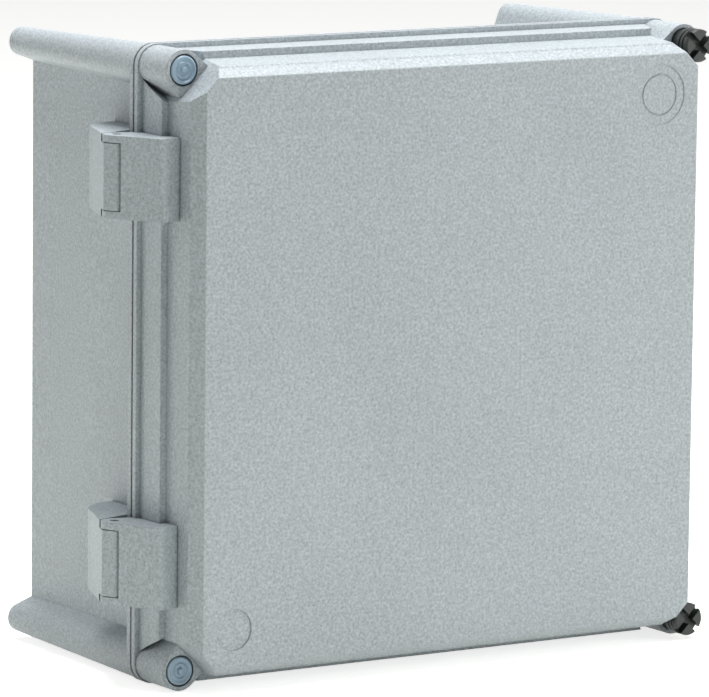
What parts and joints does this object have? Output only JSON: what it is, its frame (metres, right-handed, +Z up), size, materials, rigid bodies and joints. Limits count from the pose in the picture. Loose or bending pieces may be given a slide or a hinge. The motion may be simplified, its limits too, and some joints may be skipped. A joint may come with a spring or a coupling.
{
  "type": "electrical junction box",
  "caption": "Square wall-mounted junction box with a deep base, a stepped lid on side hinges, quarter-turn lid screws, and a rail with terminals inside.",
  "frame": {"origin": "centre of the back face that lies on the wall", "axes": "+X to the right seen from the front, +Y into the wall, +Z up"},
  "size_m": [0.2953, 0.155, 0.278],
  "materials": {
    "clamp_plastic": "moulded polyamide",
    "earth_plastic": "moulded green-yellow polyamide",
    "gasket_rubber": "matt foam rubber",
    "hinge_plastic": "fine moulded grain",
    "housing": "fine moulded grain",
    "pins": "drawn stainless rod",
    "plug_plastic": "satin moulded blue-grey",
    "screw_plastic": "satin moulded black",
    "screws": "zinc-plated screws",
    "seal_rubber": "matt rubber",
    "spring_steel": "bright spring steel",
    "terminal_plastic": "moulded grey polyamide",
    "zinc_steel": "zinc-plated sheet"
  },
  "bodies": {
    "base": {"base": "housing", "din_rail": "zinc_steel", "earth_terminal": "earth_plastic", "end_clamp_left": "clamp_plastic", "end_clamp_right": "clamp_plastic", "end_clamp_screws": "screws", "hinge_bracket_lower": "hinge_plastic", "hinge_bracket_screws": "screws", "hinge_bracket_upper": "hinge_plastic", "mounting_plate": "zinc_steel", "plate_screws": "screws", "rail_screws": "screws", "terminal_block_1": "terminal_plastic", "terminal_block_2": "terminal_plastic", "terminal_block_3": "terminal_plastic", "terminal_block_4": "terminal_plastic", "terminal_block_5": "terminal_plastic", "terminal_block_6": "terminal_plastic", "terminal_block_7": "terminal_plastic", "terminal_block_8": "terminal_plastic", "terminal_screws": "screws"},
    "lid": {"corner_plug_lower": "plug_plastic", "corner_plug_upper": "plug_plastic", "hinge_leaf_lower": "hinge_plastic", "hinge_leaf_screws": "screws", "hinge_leaf_upper": "hinge_plastic", "hinge_pin_lower": "pins", "hinge_pin_upper": "pins", "lid": "housing", "lid_gasket": "gasket_rubber"},
    "quick_screw_upper": {"quick_screw_upper": "screw_plastic", "screw_clip_upper": "spring_steel", "screw_seal_upper": "seal_rubber"},
    "quick_screw_lower": {"quick_screw_lower": "screw_plastic", "screw_clip_lower": "spring_steel", "screw_seal_lower": "seal_rubber"}
  },
  "joints": [
    {"name": "lid_hinge", "type": "hinge", "parent": "base", "child": "lid", "pos_m": [-0.1497, -0.1181, 0], "axis": [0, 0, -1], "range_deg": [0, 100]},
    {"name": "quick_turn_upper", "type": "hinge", "parent": "lid", "child": "quick_screw_upper", "pos_m": [0.1297, -0.13, 0.1297], "axis": [0, 1, 0], "range_deg": [0, 90]},
    {"name": "quick_turn_lower", "type": "hinge", "parent": "lid", "child": "quick_screw_lower", "pos_m": [0.1297, -0.13, -0.1297], "axis": [0, 1, 0], "range_deg": [0, 90]}
  ]
}
